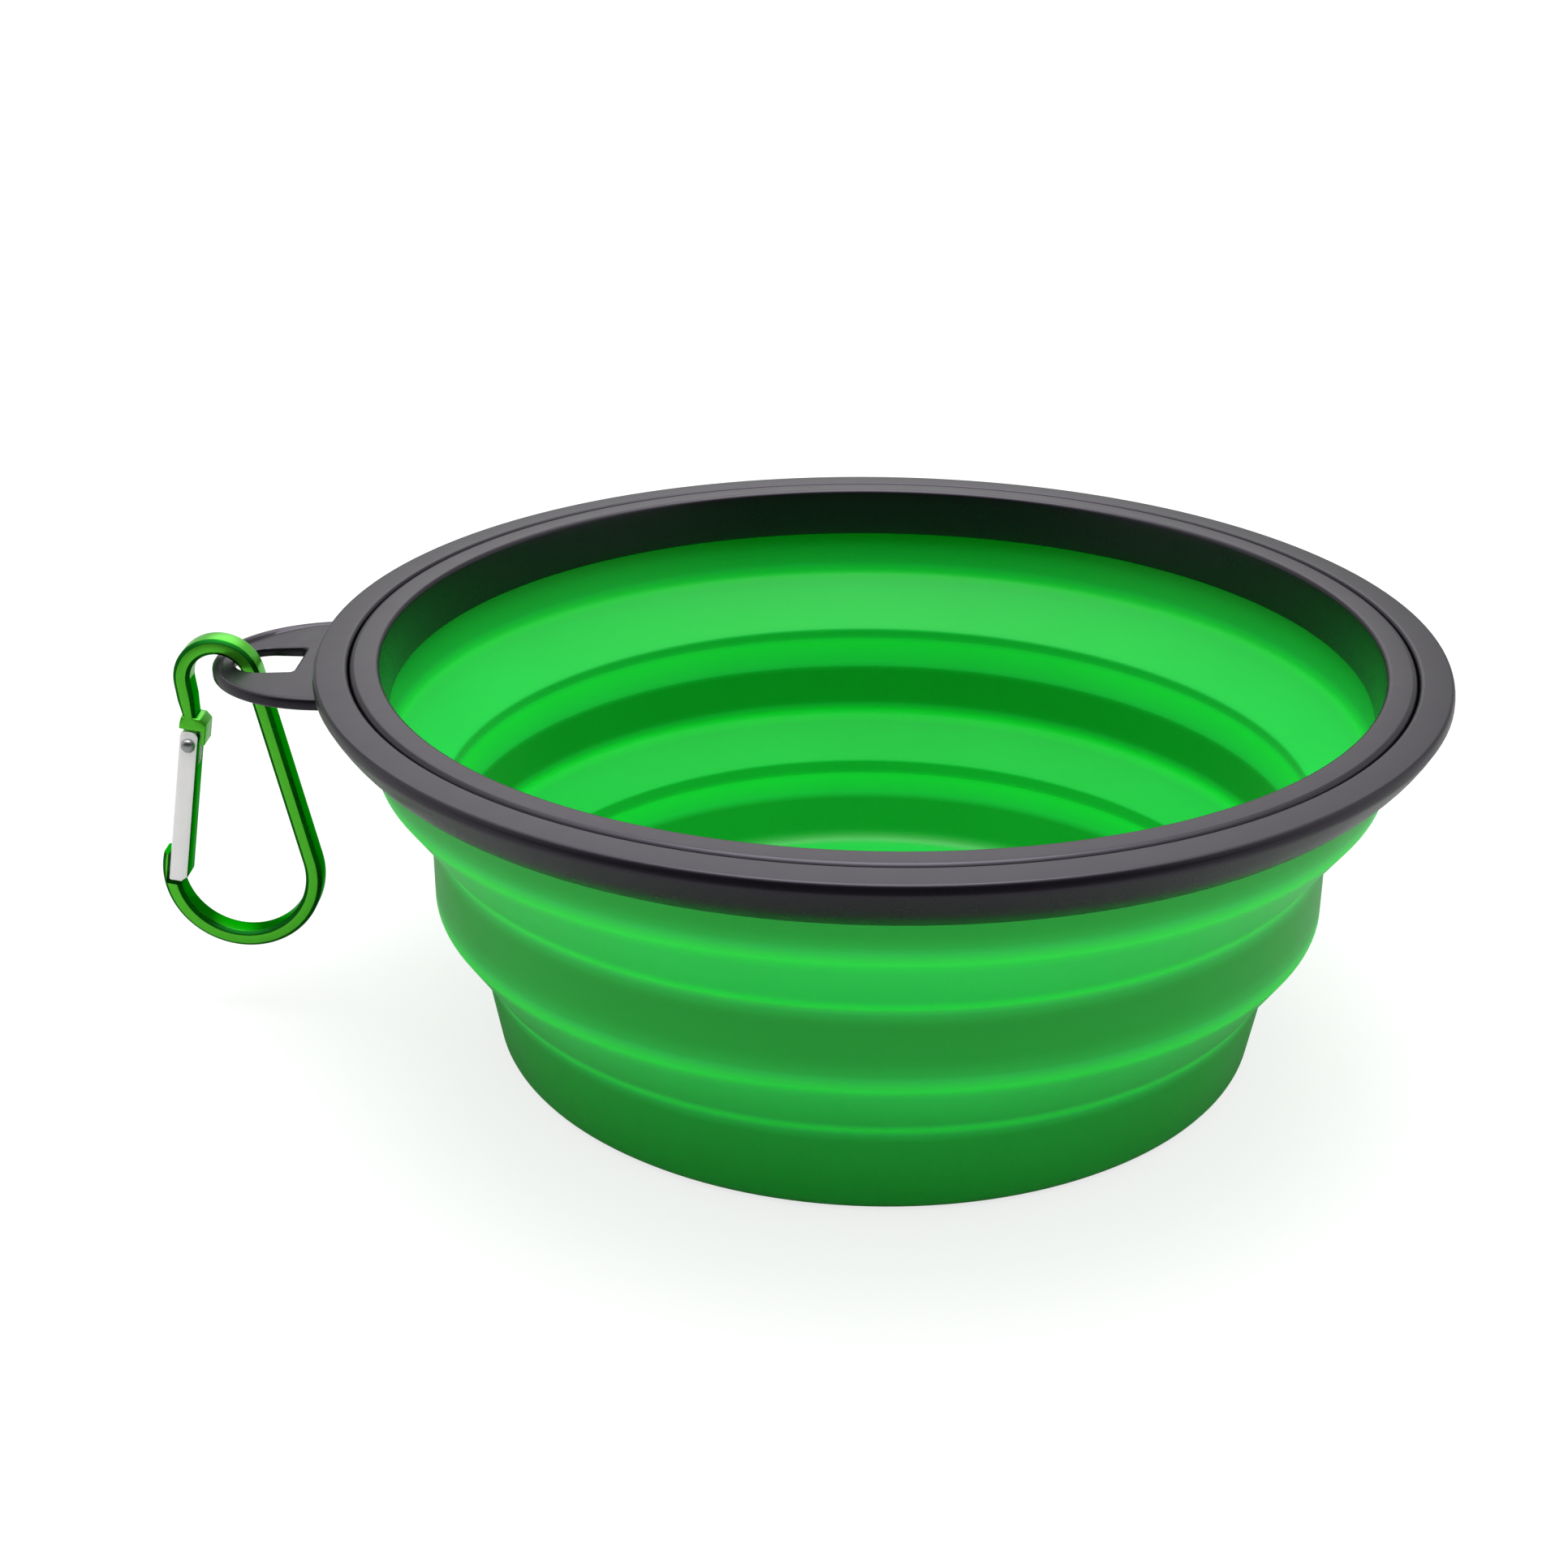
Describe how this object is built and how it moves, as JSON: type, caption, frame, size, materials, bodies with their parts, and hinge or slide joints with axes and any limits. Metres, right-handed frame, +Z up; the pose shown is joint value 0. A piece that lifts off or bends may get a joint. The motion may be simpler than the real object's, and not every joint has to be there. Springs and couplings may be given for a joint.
{
  "type": "collapsible pet bowl",
  "caption": "Collapsible green silicone travel bowl for a pet, with a black clamp-ring rim, a slotted hang tab and a small green snap carabiner",
  "frame": {"origin": "middle of the flat underside of the bowl, on the surface it stands on", "axes": "+Z up along the bowl's axis, -X toward the hang tab and the carabiner, +Y to the left of the tab seen from the middle of the bowl"},
  "size_m": [0.1521, 0.13, 0.0485],
  "materials": {
    "silicone": "satin green silicone rubber",
    "rim_plastic": "black satin moulded plastic",
    "green_anodised": "glossy green anodised",
    "gate_metal": "bare satin",
    "steel": "plain"
  },
  "bodies": {
    "base": {"base_cup": "silicone", "lower_fold_web": "silicone"},
    "middle": {"middle_band": "silicone", "upper_fold_web": "silicone"},
    "rim": {"upper_band": "silicone", "rim_outer_ring": "rim_plastic", "rim_inner_ring": "rim_plastic", "hang_tab": "rim_plastic"},
    "carabiner": {"carabiner_frame": "green_anodised", "gate_rivet": "steel"},
    "gate": {"carabiner_gate": "gate_metal", "gate_spring": "steel"},
    "plunger": {"gate_plunger": "steel"}
  },
  "joints": [
    {"name": "lower_fold", "type": "slide", "parent": "base", "child": "middle", "axis": [0, 0, -1], "range_m": [0, 0.0152], "deforming": ["lower_fold_web"]},
    {"name": "upper_fold", "type": "slide", "parent": "middle", "child": "rim", "axis": [0, 0, -1], "range_m": [0, 0.016], "deforming": ["upper_fold_web"]},
    {"name": "carabiner_swing", "type": "hinge", "parent": "rim", "child": "carabiner", "pos_m": [-0.0781, 0, 0.04195], "axis": [0, 1, 0], "range_deg": [-30, 180]},
    {"name": "gate_hinge", "type": "hinge", "parent": "carabiner", "child": "gate", "pos_m": [-0.08225, 0, 0.03365], "axis": [0, -1, 0], "range_deg": [0, 32], "stiffness_Nm_per_rad": 0.01, "springref_deg": -17.19},
    {"name": "plunger_slide", "type": "slide", "parent": "gate", "child": "plunger", "axis": [-0.1648, 0, -0.9863], "range_m": [0, 0.0004], "deforming": ["gate_spring"]}
  ],
  "couplings": [
    {"joint": "plunger_slide", "follows": "gate_hinge", "m_per_rad": 0.00062}
  ]
}
